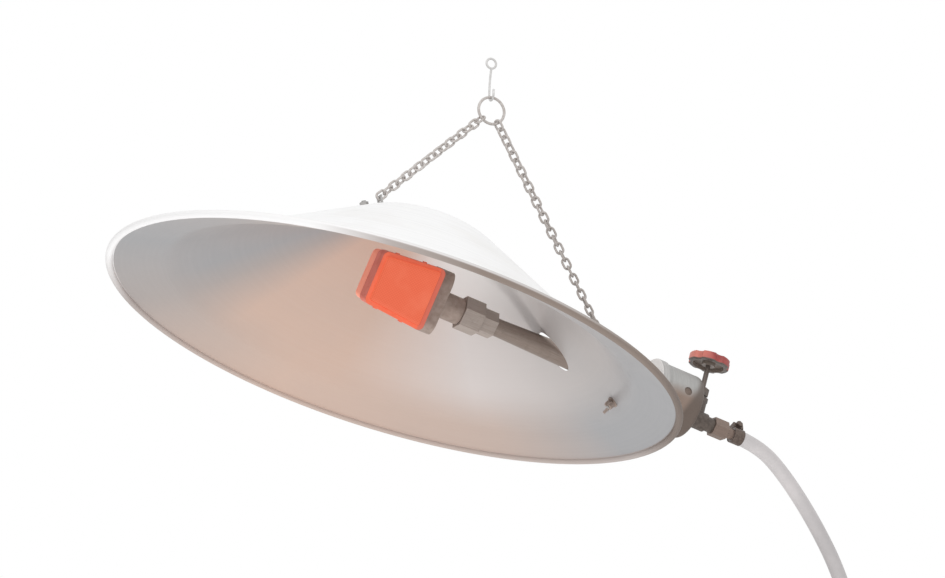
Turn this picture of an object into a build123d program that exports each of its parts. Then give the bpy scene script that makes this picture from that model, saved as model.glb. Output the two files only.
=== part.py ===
from build123d import *
import os
from math import atan, cos, hypot, pi, radians, sin, sqrt, tan

os.makedirs("parts", exist_ok=True)

# A hanging gas brooder, in millimetres, in the attitude in which it hangs.
# The origin is where the hook's eye bears on whatever it hangs from, +Z is up,
# and the mixing tube, filter and valve lie towards +X, in the plane Y = 0.
# Lengths along the tube count from the canopy's axis, heights from its rim.

# Clearances
seat_gap = 0.1            # between pieces that seat on or in each other
running_gap = 0.08        # round a turning or sliding spindle
free_gap = 0.3            # between pieces that hang or turn freely

# Hanging attitude
canopy_tilt = 17.0        # fall of the canopy towards the valve, degrees
hang_ahead = 110.5        # bearing point ahead of the rim's centre
hang_height = 326.0       # bearing point above the rim's centre

# Canopy
rim_radius = 300.0        # outside of the beaded rim
bead_radius = 3.6         # bead rolled into the rim
sheet = 0.6               # sheet metal, measured along the canopy's axis
brim_width = 53.0         # shallow outer band
brim_slope = 18.0         # degrees
brim_bend = 30.0          # bend between the brim and the cone
crown_radius = 62.0       # where the cone would meet the flat crown
canopy_depth = 137.0      # crown above the rim
shoulder_bend = 63.0      # bend between the cone and the crown

# Bolts of the two chain fixings
bolt_radius = 2.4
bolt_hole_gap = 0.3
bolt_flats = 8.0
bolt_head_height = 3.5
bolt_head_gap = 0.3       # under a head on the curved sheet
nut_height = 4.0
drill_reach = 3.0         # drilling past thin sheet on both sides
bolt_stand = 1.5          # thread beyond the nut

# Holes for the chains' last links
chain_hole_radius = 2.9
chain_bar = 2.0           # metal left above the hole

# Rear lug on the crown's shoulder
lug_lean = 27.5           # lean of the surface under it, degrees
lug_sheet = 1.5
lug_width = 12.0
lug_reach = 18.0          # ear ahead of its bolt
lug_tail = 6.0            # foot behind its bolt
lug_hole_up = 6.5         # chain hole above the foot

# Front bracket on the mixing tube
bracket_station = 223.0   # along the tube
bracket_sheet = 2.5
bracket_ring = 5.0        # metal round the tube
bracket_hole_up = 27.5    # chain hole above the tube's axis
bracket_ear_width = 12.0
bracket_leg_width = 14.0
foot_side = -46.0         # foot beside the tube
foot_step = 6.0           # bolt ahead of the bracket's plate
foot_ahead = 7.0          # foot down the slope from its bolt
washer_radius = 6.0
washer_height = 1.0
wing_hub_radius = 4.6
wing_hub_height = 6.0
wing_span = 20.0
wing_height = 11.0
wing_sheet = 2.2
wing_turn = 74.0          # turn of the wings from the slope, degrees

# Chains, ring and hook
link_wire = 1.25          # radius
link_bend = 3.8           # bend of a link's ends, at the middle of its wire
link_pitch = 9.3          # nominal
link_splay = 32.0         # links turned to both sides of the chain's middle plane, degrees
front_chain_turns = (-32.0, 55.0)   # middle plane from the ring's plane, at the ring and at the bar, degrees
rear_chain_turns = (-28.0, 28.0)
ring_wire = 1.5           # radius
ring_radius = 14.8        # at the middle of the wire
hook_wire = 1.2           # radius
hook_eye = 5.5            # at the middle of the wire
hook_drop = 45.5          # bend's wire below the bearing point
hook_bend = 5.5           # at the middle of the wire
hook_tip = 5.0            # straight tip above the bend

# Mixing tube and union
tube_height = 66.0        # tube's axis above the rim
tube_wall = 1.2
tube_inner_end = 88.0     # end in the adaptor
tube_cone_start = 104.0
tube_cone_end = 190.0
tube_mouth = 318.0        # open end in the filter
tube_small = 9.5          # outside radius at the burner
tube_large = 12.0         # outside radius at the filter
tube_hole_gap = 1.6       # round the tube in the canopy
union_start = 58.0
union_length = 22.0
union_flats = 32.0
union_lip = 3.5
adaptor_flats = 25.0
adaptor_end = 97.0
adaptor_bore = 7.5

# Burner head
face_turn = 21.0          # glowing face below level, degrees
head_free_end = -45.0     # along the tube
head_root = 20.0
head_free_half = 26.5     # half height at the free end
head_root_half = 32.5
head_back = -30.0         # casing's back, from the tube's axis towards the face
head_joint = 5.0          # casing's front edge
head_corner = 6.0
casing_wall = 1.5
inlet_spigot = 9.0        # base's spigot in the casing
inlet_spigot_bore = 7.0
inlet_spigot_back = 14.0  # spigot behind the tube's axis
inlet_spigot_end = 3.0    # spigot inside the casing
frame_wall = 1.2
frame_lap = 8.0           # frame's skirt over the casing
frame_front = 23.0
frame_lip = 3.0
gauze_rise = 5.0
gauze_sheet = 1.0
gauze_round = 4.2
gasket_height = 1.5
gasket_width = 7.0
plaque_height = 11.5
plaque_hole = 1.3
plaque_columns = 8
plaque_rows = 6
plaque_pitch = 6.0
baffle_sheet = 1.0
baffle_height = 29.0      # above the casing's floor
baffle_half = 15.0
baffle_length = 34.0
baffle_start = -28.0      # along the tube
screw_radius = 1.5
screw_length = 6.0
screw_head_radius = 2.4
screw_head_height = 0.9
screw_pitch = 30.0
base_half = 34.0          # half height
base_front = 15.0         # from the tube's axis towards the face
base_corner = 14.0
base_length = 14.0
channel_wall = 3.5        # left at both ends of the channel inside
neck_radius = 14.0
neck_bore = 8.0
neck_tail = 10.5          # radius in the union's lip
neck_shoulder = 12.6
neck_shoulder_length = 4.0

# Air filter
drum_radius = 35.0
drum_wall = 1.0
drum_end = 335.0
drum_round = 5.0
port_radius = 4.5
port_count = 4
port_station = 314.0
port_turn = 81.0          # first port from straight up, towards the side, degrees
lid_start = 281.0
lid_wall = 1.4
lid_length = 9.0
element_inner = 20.0
injector_flange = 8.0
injector_flange_length = 2.0
injector_thread = 5.0
injector_thread_length = 5.0
injector_nose = 4.0
injector_tip = 2.0
injector_nose_length = 10.0
injector_jet = 0.6
injector_jet_length = 2.0
injector_bore = 2.2

# Needle valve, its heights above the tube's axis
stem_station = 346.0      # spindle's axis along the tube
valve_drop = 8.0          # hose side's axis below the tube's axis
shoulder_radius = 10.5
shoulder_length = 3.0
outlet_barrel = 8.0
inlet_barrel = 10.0
inlet_barrel_end = 358.0
inlet_radius = 8.0
inlet_end = 367.0
inlet_bore = 3.0
inlet_thread = 5.2
inlet_thread_length = 8.0
outlet_bore = 2.6
boss_radius = 8.0
boss_top = 11.5
seat_top = 0.0
seat_bore = 2.0
chamber_radius = 4.2
bonnet_foot = 6.0
bonnet_spigot = 6.0
bonnet_flats = 15.0
bonnet_top = 17.0
bonnet_neck = 5.0
bonnet_neck_top = 24.0
gland_flats = 13.0
gland_start = 19.0
gland_top = 27.5
gland_cap = 1.5
stem_radius = 2.75
stem_tip = 0.8
stem_point = 0.4
stem_point_length = 4.0
stem_spigot = 2.2
stem_stand = 0.8          # spindle beyond its nut
wheel_start = 54.0
wheel_height = 9.5
wheel_radius = 22.6
wheel_lobes = 6
wheel_scallop = 6.0
wheel_scallop_depth = 2.6
wheel_recess = 4.0
wheel_rim = 5.5
wheel_hub = 7.0
wheel_round = 1.8
wheel_nut_flats = 8.0
wheel_nut_height = 3.2

# Hose, its fittings and its coil
hose_radius = 8.0
hose_bore = 4.8
tail_flats = 19.0
tail_hex_end = 384.0
tail_collar = 6.0
hose_start = 393.0
barb_length = 16.0
barb_rings = 4
barb_depth = 0.5
clamp_start = 392.6
clamp_length = 12.0
clamp_turn = 60.0         # housing from the far side towards the top, degrees
clamp_wall = 0.9
clamp_box_height = 5.0    # outwards from the band
clamp_box_width = 12.0    # along the screw
clamp_screw_radius = 1.8
clamp_head_radius = 3.2
clamp_head_height = 3.5
hose_runs = (34.0, 42.0, 60.0, 62.0, 62.0, 60.0)
bend_share = 0.45         # of a run that a bend at its end takes
hose_headings = (canopy_tilt, 43.0, 54.0, 61.0, 74.0, 90.0)   # below level, degrees
coil_radius = 85.0        # at the middle of the hose
coil_quarters = 9         # quarter turns
coil_step = 17.0          # from turn to turn
coil_lead_in = 16.0       # straight hose before the first turn
coil_tail = 50.0          # straight hose after the last turn
tie_angle = 40.0          # round the coil from its start, degrees
tie_strands = 3
tie_width = 8.0
tie_wall = 1.2
tie_gap = 1.0
end_barb_length = 20.0
end_collar_length = 4.0
end_neck = 6.0
end_neck_length = 8.0
end_head = 8.0
end_head_length = 4.0
end_nut_flats = 22.0
end_nut_length = 20.0
end_nut_lip = 3.0
end_bore = 3.0

# Directions
tilt = radians(canopy_tilt)
side_dir = Vector(0, 1, 0)
tube_dir = Vector(cos(tilt), 0, -sin(tilt))
canopy_up = Vector(sin(tilt), 0, cos(tilt))
rim_centre = Vector(-hang_ahead, 0, -hang_height)


def at(along, up, side=0.0):
    """Point along the tube, up the canopy's axis and to the side."""
    return rim_centre + tube_dir * along + canopy_up * up + side_dir * side


def line_plane(origin, direction):
    """Plane whose x runs along a turned piece's axis."""
    return Plane(origin=origin, x_dir=direction, z_dir=direction.cross(side_dir))


def square_plane(line, distance):
    """Plane square to a turned piece's axis, some distance along it."""
    return Plane(origin=line.origin + line.x_dir * distance, x_dir=line.y_dir, z_dir=line.x_dir)


def turned(line, outline, mode=Mode.ADD):
    """Turn a half section about a line: (distance along it, radius) pairs."""
    with BuildSketch(line) as half:
        with BuildLine():
            Polyline(*outline, close=True)
        make_face()
    revolve(half.sketch, axis=Axis(line.origin, line.x_dir), mode=mode)


def round_bar(line, start, end, radius, bore=0.0):
    """Round bar or tube between two distances along a line."""
    turned(line, [(start, bore), (end, bore), (end, radius), (start, radius)])


def bored(line, start, end, radius):
    """Round hole between two distances along a line."""
    turned(line, [(start, 0), (end, 0), (end, radius), (start, radius)], Mode.SUBTRACT)


def hex_bar(line, start, end, flats):
    """Hexagon bar between two distances along a line."""
    with BuildSketch(square_plane(line, start)) as face:
        RegularPolygon(flats / 2, 6, major_radius=False)
    extrude(face.sketch, amount=end - start)


def arc_joint(start, start_dir, end, end_dir):
    """Where two arcs meet that join two points with their directions."""
    chord = end - start
    both = start_dir + end_dir
    spare = 2 * (1 - start_dir.dot(end_dir))
    lean_in = chord.dot(both)
    reach = (sqrt(lean_in**2 + spare * chord.dot(chord)) - lean_in) / spare
    return (start + start_dir * reach + end - end_dir * reach) * 0.5


def arc_pair(start, start_dir, end, end_dir):
    """Draw two arcs that join two points with their directions."""
    joint = arc_joint(start, start_dir, end, end_dir)
    first = TangentArc(start, joint, tangent=start_dir)
    TangentArc(joint, end, tangent=first % 1)


def save(piece, name):
    """Label a finished piece and write it to its file."""
    piece.part.label = name
    export_step(piece.part, f"parts/{name}.step")


meridian = Plane(origin=rim_centre, x_dir=tube_dir, z_dir=-side_dir)
tube_line = line_plane(at(0, tube_height), tube_dir)
valve_height = tube_height - valve_drop
valve_line = line_plane(at(0, valve_height), tube_dir)
stem_line = line_plane(at(stem_station, tube_height), canopy_up)

# Section of the canopy
bead_centre = rim_radius - bead_radius
brim_inner = bead_centre - brim_width
brim_top = sheet / 2 + brim_width * tan(radians(brim_slope))
cone_slope = atan((canopy_depth - brim_top) / (brim_inner - crown_radius))
cone_depth = sheet * cos(cone_slope)
shoulder_start = crown_radius - shoulder_bend * tan(cone_slope / 2)
tube_hole = tube_large + tube_hole_gap
bolt_hole = bolt_radius + bolt_hole_gap


def canopy_corners(drop):
    """Corners of the canopy's section, lowered from its outside."""
    return [
        (bead_centre, sheet / 2 - drop),
        (brim_inner, brim_top - drop),
        (crown_radius, canopy_depth - drop),
        (0, canopy_depth - drop),
    ]


def cone_height(radius):
    """Height of the cone's outside at a radius."""
    return brim_top + (brim_inner - radius) * tan(cone_slope)


# Seat of the rear lug on the crown's shoulder, with x up the slope
lean = radians(lug_lean)
lug_radius = shoulder_start + shoulder_bend * sin(lean)
lug_height = canopy_depth - shoulder_bend * (1 - cos(lean))
lug_slope = tube_dir * cos(lean) + canopy_up * sin(lean)
lug_normal = canopy_up * cos(lean) - tube_dir * sin(lean)
lug_middle = at(-lug_radius, lug_height)
lug_bolt_line = line_plane(lug_middle, lug_normal)
lug_ear_line = line_plane(lug_middle + lug_slope * lug_reach + lug_normal * lug_hole_up, lug_slope)
lug_top = lug_hole_up + chain_hole_radius + chain_bar

# Seat of the bracket's foot on the cone, with x down the slope
foot_along = bracket_station + foot_step
foot_radius = hypot(foot_along, foot_side)
foot_out = tube_dir * (foot_along / foot_radius) + side_dir * (foot_side / foot_radius)
foot_normal = canopy_up * cos(cone_slope) + foot_out * sin(cone_slope)
foot_slope = foot_out * cos(cone_slope) - canopy_up * sin(cone_slope)
foot_middle = at(foot_along, cone_height(foot_radius), foot_side)
foot_seat = Plane(origin=foot_middle, x_dir=foot_slope, z_dir=foot_normal)
foot_bolt_line = line_plane(foot_middle, foot_normal)
foot_behind = (foot_step + bracket_sheet / 2) / foot_slope.dot(tube_dir)

# Canopy
with BuildPart() as canopy:
    with BuildSketch(meridian):
        with BuildLine():
            outside = FilletPolyline(*canopy_corners(0), radius=(brim_bend, shoulder_bend))
            inside = FilletPolyline(*canopy_corners(sheet), radius=(brim_bend, shoulder_bend))
            Line(outside @ 0, inside @ 0)
            Line(outside @ 1, inside @ 1)
        make_face()
        with Locations((bead_centre, 0)):
            Circle(bead_radius)
    revolve(axis=Axis(rim_centre, canopy_up))
    bored(tube_line, 0, rim_radius, tube_hole)
    bored(foot_bolt_line, -drill_reach, drill_reach, bolt_hole)
    bored(lug_bolt_line, -drill_reach, drill_reach, bolt_hole)
save(canopy, "canopy")

# Rear lug: a foot on the shoulder and an ear for the chain
with BuildPart() as rear_lug:
    with BuildSketch(Plane(origin=lug_middle, x_dir=lug_slope, z_dir=-side_dir)):
        with BuildLine():
            Polyline(
                (-lug_tail, seat_gap),
                (lug_reach + lug_sheet / 2, seat_gap),
                (lug_reach + lug_sheet / 2, lug_top),
                (lug_reach - lug_sheet / 2, lug_top),
                (lug_reach - lug_sheet / 2, seat_gap + lug_sheet),
                (-lug_tail, seat_gap + lug_sheet),
                close=True,
            )
        make_face()
    extrude(amount=lug_width / 2, both=True)
    bored(lug_bolt_line, 0, 2 * lug_sheet, bolt_hole)
    bored(lug_ear_line, -lug_sheet, lug_sheet, chain_hole_radius)
save(rear_lug, "rear_lug")

lug_bolt_seat = -sheet - bolt_head_gap
lug_nut_start = lug_sheet + 2 * seat_gap
lug_nut_end = lug_nut_start + nut_height

with BuildPart() as rear_lug_bolt:
    hex_bar(lug_bolt_line, lug_bolt_seat - bolt_head_height, lug_bolt_seat, bolt_flats)
    round_bar(lug_bolt_line, lug_bolt_seat, lug_nut_end + bolt_stand, bolt_radius)
save(rear_lug_bolt, "rear_lug_bolt")

with BuildPart() as rear_lug_nut:
    hex_bar(lug_bolt_line, lug_nut_start, lug_nut_end, bolt_flats)
    bored(lug_bolt_line, lug_nut_start, lug_nut_end, bolt_radius + seat_gap)
save(rear_lug_nut, "rear_lug_nut")

# Front bracket: a plate round the tube, an ear for the chain, a leg and a foot on the canopy
bracket_bore = tube_large + seat_gap
bracket_outer = bracket_bore + bracket_ring
bracket_top = bracket_hole_up + chain_hole_radius + chain_bar
leg_inner_radius = hypot(bracket_station - bracket_sheet / 2, foot_side + bracket_leg_width / 2)
leg_bottom = cone_height(leg_inner_radius) + seat_gap - tube_height

with BuildPart() as front_bracket:
    with BuildSketch(square_plane(tube_line, bracket_station)):
        Circle(bracket_outer)
        with BuildLine():
            Polyline(
                (0, bracket_outer),
                (foot_side - bracket_leg_width / 2, leg_bottom + bracket_leg_width),
                (foot_side - bracket_leg_width / 2, leg_bottom),
                (foot_side + bracket_leg_width / 2, leg_bottom),
                (0, -bracket_outer),
                close=True,
            )
        make_face()
        with Locations((0, bracket_top / 2)):
            Rectangle(bracket_ear_width, bracket_top)
        with Locations((0, bracket_hole_up)):
            Circle(chain_hole_radius, mode=Mode.SUBTRACT)
    extrude(amount=bracket_sheet / 2, both=True)
    with BuildSketch(foot_seat.offset(seat_gap)):
        with Locations(((foot_ahead - foot_behind) / 2, 0)):
            Rectangle(foot_ahead + foot_behind, bracket_leg_width)
    extrude(amount=bracket_sheet)
    bored(tube_line, 0, drum_end, bracket_bore)
    bored(foot_bolt_line, 0, bracket_sheet + 2 * seat_gap, bolt_hole)
save(front_bracket, "front_bracket")

foot_top = bracket_sheet + 2 * seat_gap
washer_face = -cone_depth - seat_gap
wing_face = washer_face - washer_height - seat_gap

with BuildPart() as bracket_bolt:
    hex_bar(foot_bolt_line, foot_top, foot_top + bolt_head_height, bolt_flats)
    round_bar(foot_bolt_line, wing_face - wing_hub_height - bolt_stand, foot_top, bolt_radius)
save(bracket_bolt, "bracket_bolt")

with BuildPart() as bracket_washer:
    round_bar(foot_bolt_line, washer_face - washer_height, washer_face, washer_radius, bolt_radius + seat_gap)
save(bracket_washer, "bracket_washer")

# Wing nut inside the canopy
wing_foot = foot_middle + foot_normal * wing_face
wing_dir = foot_slope.rotate(Axis((0, 0, 0), foot_normal), wing_turn)
wing_plane = Plane(origin=wing_foot, x_dir=wing_dir, z_dir=foot_normal.cross(wing_dir))
with BuildPart() as wing_nut:
    round_bar(foot_bolt_line, wing_face - wing_hub_height, wing_face, wing_hub_radius)
    with BuildSketch(wing_plane):
        with BuildLine():
            Polyline(
                (0, 0),
                (wing_hub_radius, 0),
                (wing_span / 2, wing_height / 2),
                (wing_span / 2, wing_height),
                (wing_span / 2 - wing_sheet, wing_height),
                (wing_hub_radius, wing_hub_height),
                (0, wing_hub_height),
                close=True,
            )
        make_face()
        mirror(about=Plane.YZ)
    extrude(amount=wing_sheet / 2, both=True)
    bored(foot_bolt_line, wing_face - wing_hub_height, wing_face, bolt_radius + seat_gap)
save(wing_nut, "wing_nut")

# Hook: eye, bowed shank, bend and tip, all of one wire
hook_plane = Plane(origin=(0, 0, 0), x_dir=side_dir, z_dir=(1, 0, 0))
eye_centre = hook_wire - hook_eye
bend_centre = hook_bend - hook_drop
with BuildPart() as hook:
    with BuildLine(hook_plane) as hook_path:
        Line((-hook_bend, bend_centre + hook_tip), (-hook_bend, bend_centre))
        CenterArc((0, bend_centre), hook_bend, 180, 180)
        TangentArc((hook_bend, bend_centre), (0, eye_centre - hook_eye), tangent=(0, 1))
    with BuildSketch(Plane(origin=hook_path.line @ 0, z_dir=hook_path.line % 0)):
        Circle(hook_wire)
    sweep(path=hook_path.line)
    with Locations(Plane(origin=(0, 0, eye_centre), z_dir=side_dir)):
        Torus(hook_eye, hook_wire)
save(hook, "hook")

# Ring on the hook's bend
ring_height = hook_wire + ring_wire + free_gap - hook_drop - ring_radius
ring_centre = Vector(0, 0, ring_height)
with BuildPart() as hanging_ring:
    with Locations(Plane(origin=ring_centre, z_dir=side_dir)):
        Torus(ring_radius, ring_wire)
save(hanging_ring, "hanging_ring")


# Chains from the ring to the lug and the bracket
def chain_link(half_length):
    """One welded link in the plane XY, its long way along X."""
    straight = half_length - link_bend
    with BuildPart() as link:
        with BuildLine() as loop:
            Line((-straight, -link_bend), (straight, -link_bend))
            CenterArc((straight, 0), link_bend, -90, 180)
            Line((straight, link_bend), (-straight, link_bend))
            CenterArc((-straight, 0), link_bend, 90, 180)
        with BuildSketch(Plane(origin=(-straight, -link_bend, 0), z_dir=(1, 0, 0))):
            Circle(link_wire)
        sweep(path=loop.line)
    return link.part


def chain_planes(bar, bar_reach, chain_turns):
    """Half length of a link, and the planes of all links, odd in number, from the ring to a bar."""
    run = (bar - ring_centre).normalized()
    across = Vector(-run.Z, 0, run.X)
    top = ring_centre + run * (ring_radius - ring_wire - link_wire - free_gap)
    bottom = bar + run * (bar_reach + link_wire + free_gap)
    room = (bottom - top).length - 2 * link_wire - free_gap
    count = 2 * round((room / link_pitch - 1) / 2) + 1
    pitch = room / count
    half_length = pitch / 2 + link_wire + free_gap / 2
    first_turn, last_turn = chain_turns
    planes = []
    for number in range(count):
        middle_turn = first_turn + (last_turn - first_turn) * number / (count - 1)
        turn = radians(middle_turn + (link_splay if number % 2 else -link_splay))
        width_dir = across * cos(turn) + side_dir * sin(turn)
        middle = top + run * (half_length + pitch * number)
        planes.append(Plane(origin=middle, x_dir=run, z_dir=run.cross(width_dir)))
    return half_length, planes


bar_middle = chain_hole_radius + chain_bar / 2
lug_bar = lug_ear_line.origin + lug_normal * bar_middle
bracket_bar = at(bracket_station, tube_height + bracket_hole_up + bar_middle)
lug_links = chain_planes(lug_bar, hypot(lug_sheet, chain_bar) / 2, rear_chain_turns)
bracket_links = chain_planes(bracket_bar, hypot(bracket_sheet, chain_bar) / 2, front_chain_turns)

with BuildPart() as chain_rear:
    with Locations(*lug_links[1]):
        add(chain_link(lug_links[0]))
save(chain_rear, "chain_rear")

with BuildPart() as chain_front:
    with Locations(*bracket_links[1]):
        add(chain_link(bracket_links[0]))
save(chain_front, "chain_front")

# Burner head, on a plane whose x runs along the tube and whose z points out of its face
turn_down = radians(face_turn)
face_dir = -side_dir * cos(turn_down) - canopy_up * sin(turn_down)
head = Plane(origin=at(0, tube_height), x_dir=tube_dir, z_dir=face_dir)
head_taper = (head_root_half - head_free_half) / (head_root - head_free_end)
head_middle = (head_free_end + head_root) / 2


def head_outline(depth, grow):
    """Tapered outline of the head at a depth towards its face, grown all round."""
    with BuildSketch(head.offset(depth)) as outline:
        with BuildLine():
            Polyline(
                (head_free_end - grow, -head_free_half - grow),
                (head_root + grow, -head_root_half - grow),
                (head_root + grow, head_root_half + grow),
                (head_free_end - grow, head_free_half + grow),
                close=True,
            )
        make_face()
        fillet(outline.vertices(), head_corner + min(grow, 0))
    return outline.sketch


def screw_lines():
    """Axes of the frame's screws, out of the casing's upper and lower walls."""
    lines = []
    for upward in (1, -1):
        for step in (-0.5, 0.5):
            along = head_middle + step * screw_pitch
            half = head_free_half + (along - head_free_end) * head_taper
            foot = head.from_local_coords((along, upward * half, head_joint - frame_lap / 2))
            outward = (head.y_dir * upward - head.x_dir * head_taper).normalized()
            lines.append(line_plane(foot, outward))
    return lines


spigot_line = line_plane(head.origin - face_dir * inlet_spigot_back, tube_dir)
frame_grow = seat_gap + frame_wall
plaque_start = head_joint + gasket_height + 2 * seat_gap
gauze_seat = frame_front - frame_wall - seat_gap
gauze_grow = -frame_lip - free_gap

with BuildPart() as burner_casing:
    extrude(head_outline(head_back, 0), amount=head_joint - head_back)
    fillet(burner_casing.faces().sort_by(Axis(head.origin, face_dir))[0].edges(), casing_wall)
    hollow = head_outline(head_back + casing_wall, -casing_wall)
    extrude(hollow, amount=head_joint - head_back, mode=Mode.SUBTRACT)
    bored(spigot_line, 0, head_root, inlet_spigot + seat_gap)
    for line in screw_lines():
        bored(line, -screw_length, 0, screw_radius + seat_gap)
save(burner_casing, "burner_casing")

with BuildPart() as burner_frame:
    skirt = head_joint - frame_lap
    extrude(head_outline(skirt, frame_grow), amount=frame_front - skirt)
    extrude(head_outline(skirt, seat_gap), amount=frame_front - frame_wall - skirt, mode=Mode.SUBTRACT)
    extrude(head_outline(skirt, -frame_lip), amount=2 * frame_front, mode=Mode.SUBTRACT)
    for line in screw_lines():
        bored(line, -screw_length, screw_length, screw_radius + seat_gap)
save(burner_frame, "burner_frame")


def gauze_dome(grow, top, rounding):
    """Solid dome over the head's face, with a rounded edge."""
    foot = gauze_seat - gauze_sheet
    with BuildPart() as dome:
        extrude(head_outline(foot, grow), amount=top - foot)
        fillet(dome.faces().sort_by(Axis(head.origin, face_dir))[-1].edges(), rounding)
    return dome.part


gauze_top = frame_front + gauze_rise
with BuildPart() as burner_gauze:
    add(gauze_dome(gauze_grow, gauze_top, gauze_round))
    extrude(head_outline(gauze_seat - gauze_sheet, -free_gap), amount=gauze_sheet)
    add(
        gauze_dome(gauze_grow - gauze_sheet, gauze_top - gauze_sheet, gauze_round - gauze_sheet),
        mode=Mode.SUBTRACT,
    )
save(burner_gauze, "burner_gauze")

with BuildPart() as burner_gasket:
    extrude(head_outline(head_joint + seat_gap, 0), amount=gasket_height)
    extrude(head_outline(head_joint, -gasket_width / 2), amount=2 * gasket_height, mode=Mode.SUBTRACT)
save(burner_gasket, "burner_gasket")

with BuildPart() as burner_plaque:
    extrude(head_outline(plaque_start, -free_gap), amount=plaque_height)
    with BuildSketch(head.offset(plaque_start)):
        with Locations((head_middle, 0)):
            with GridLocations(plaque_pitch, plaque_pitch, plaque_columns, plaque_rows):
                Circle(plaque_hole)
    extrude(amount=plaque_height, mode=Mode.SUBTRACT)
save(burner_plaque, "burner_plaque")

# Baffle: a folded plate standing on the casing's floor
baffle_floor = head_back + casing_wall + seat_gap
baffle_end = baffle_start + baffle_length
with BuildPart() as burner_baffle:
    with BuildSketch(Plane(origin=head.origin, x_dir=tube_dir, z_dir=-head.y_dir)):
        with BuildLine():
            Polyline(
                (baffle_start, baffle_floor),
                (baffle_start + baffle_sheet, baffle_floor),
                (baffle_start + baffle_sheet, baffle_floor + baffle_height - baffle_sheet),
                (baffle_end - baffle_sheet, baffle_floor + baffle_height - baffle_sheet),
                (baffle_end - baffle_sheet, baffle_floor),
                (baffle_end, baffle_floor),
                (baffle_end, baffle_floor + baffle_height),
                (baffle_start, baffle_floor + baffle_height),
                close=True,
            )
        make_face()
    extrude(amount=baffle_half, both=True)
save(burner_baffle, "burner_baffle")

with BuildPart() as frame_screws:
    for line in screw_lines():
        round_bar(line, frame_grow + seat_gap, frame_grow + seat_gap + screw_head_height, screw_head_radius)
        round_bar(line, frame_grow + seat_gap - screw_length, frame_grow + seat_gap, screw_radius)
save(frame_screws, "frame_screws")

# Base: a block behind the head, a spigot in the casing, a neck in the union and a channel between them
base_start = head_root + frame_grow + seat_gap
base_end = base_start + base_length
spigot_start = head_root - casing_wall - inlet_spigot_end
channel_start = base_start + channel_wall
channel_end = base_end - channel_wall
neck_end = union_start - free_gap
shoulder_face = union_start + union_lip + free_gap
shoulder_end = shoulder_face + neck_shoulder_length
with BuildPart() as burner_base:
    with BuildSketch(Plane(origin=at(base_start, tube_height), x_dir=face_dir, z_dir=tube_dir)):
        with Locations(((head_back + base_front) / 2, 0)):
            RectangleRounded(base_front - head_back, 2 * base_half, base_corner)
    extrude(amount=base_length)
    round_bar(spigot_line, spigot_start, base_start, inlet_spigot)
    round_bar(tube_line, base_end, neck_end, neck_radius)
    round_bar(tube_line, neck_end, shoulder_face, neck_tail)
    round_bar(tube_line, shoulder_face, shoulder_end, neck_shoulder)
    bored(spigot_line, spigot_start, channel_end, inlet_spigot_bore)
    bored(tube_line, channel_start, shoulder_end, neck_bore)
    with BuildSketch(Plane(origin=at(channel_start, tube_height), x_dir=face_dir, z_dir=tube_dir)):
        with Locations((-inlet_spigot_back / 2, 0)):
            SlotCenterToCenter(inlet_spigot_back, 2 * inlet_spigot_bore)
    extrude(amount=channel_end - channel_start, mode=Mode.SUBTRACT)
save(burner_base, "burner_base")

# Union nut and adaptor
union_end = union_start + union_length
union_bore = neck_shoulder + 2 * free_gap
with BuildPart() as union_nut:
    hex_bar(tube_line, union_start, union_end, union_flats)
    bored(tube_line, union_start, union_end, neck_tail + free_gap)
    bored(tube_line, union_start + union_lip, union_end, union_bore)
save(union_nut, "union_nut")

with BuildPart() as adaptor:
    hex_bar(tube_line, union_end + seat_gap, adaptor_end, adaptor_flats)
    round_bar(tube_line, shoulder_end + free_gap, union_end + seat_gap, union_bore - seat_gap)
    bored(tube_line, shoulder_end, adaptor_end, adaptor_bore)
    bored(tube_line, tube_inner_end - seat_gap, adaptor_end, tube_small + seat_gap)
save(adaptor, "adaptor")

# Mixing tube, widening towards the filter
with BuildPart() as mixing_tube:
    turned(
        tube_line,
        [
            (tube_inner_end, tube_small),
            (tube_cone_start, tube_small),
            (tube_cone_end, tube_large),
            (tube_mouth, tube_large),
            (tube_mouth, tube_large - tube_wall),
            (tube_cone_end, tube_large - tube_wall),
            (tube_cone_start, tube_small - tube_wall),
            (tube_inner_end, tube_small - tube_wall),
        ],
    )
save(mixing_tube, "mixing_tube")

# Air filter: lid, drum with its ports, and foam ring
drum_start = lid_start + lid_wall + seat_gap
lid_outer = drum_radius + seat_gap + lid_wall
with BuildPart() as filter_lid:
    round_bar(tube_line, lid_start, lid_start + lid_length, lid_outer)
    fillet(filter_lid.faces().sort_by(Axis(at(0, tube_height), tube_dir))[0].edges(), lid_wall)
    bored(tube_line, lid_start + lid_wall, lid_start + lid_length, drum_radius + seat_gap)
    bored(tube_line, lid_start, lid_start + lid_length, tube_large + seat_gap)
save(filter_lid, "filter_lid")

with BuildPart() as filter_drum:
    with BuildSketch(tube_line):
        with BuildLine():
            outer_wall = FilletPolyline(
                (drum_start, drum_radius), (drum_end, drum_radius), (drum_end, 0), radius=drum_round
            )
            inner_wall = FilletPolyline(
                (drum_start, drum_radius - drum_wall),
                (drum_end - drum_wall, drum_radius - drum_wall),
                (drum_end - drum_wall, 0),
                radius=drum_round - drum_wall,
            )
            Line(outer_wall @ 0, inner_wall @ 0)
            Line(outer_wall @ 1, inner_wall @ 1)
        make_face()
    revolve(axis=Axis(at(0, tube_height), tube_dir))
    bored(tube_line, drum_end - drum_wall, drum_end, injector_thread + seat_gap)
    for number in range(port_count):
        turn = radians(port_turn + 360 / port_count * number)
        port_dir = canopy_up * cos(turn) - side_dir * sin(turn)
        port_plane = Plane(origin=at(port_station, tube_height), x_dir=tube_dir, z_dir=port_dir)
        with BuildSketch(port_plane) as port:
            Circle(port_radius)
        extrude(port.sketch, amount=drum_radius, mode=Mode.SUBTRACT)
save(filter_drum, "filter_drum")

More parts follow.
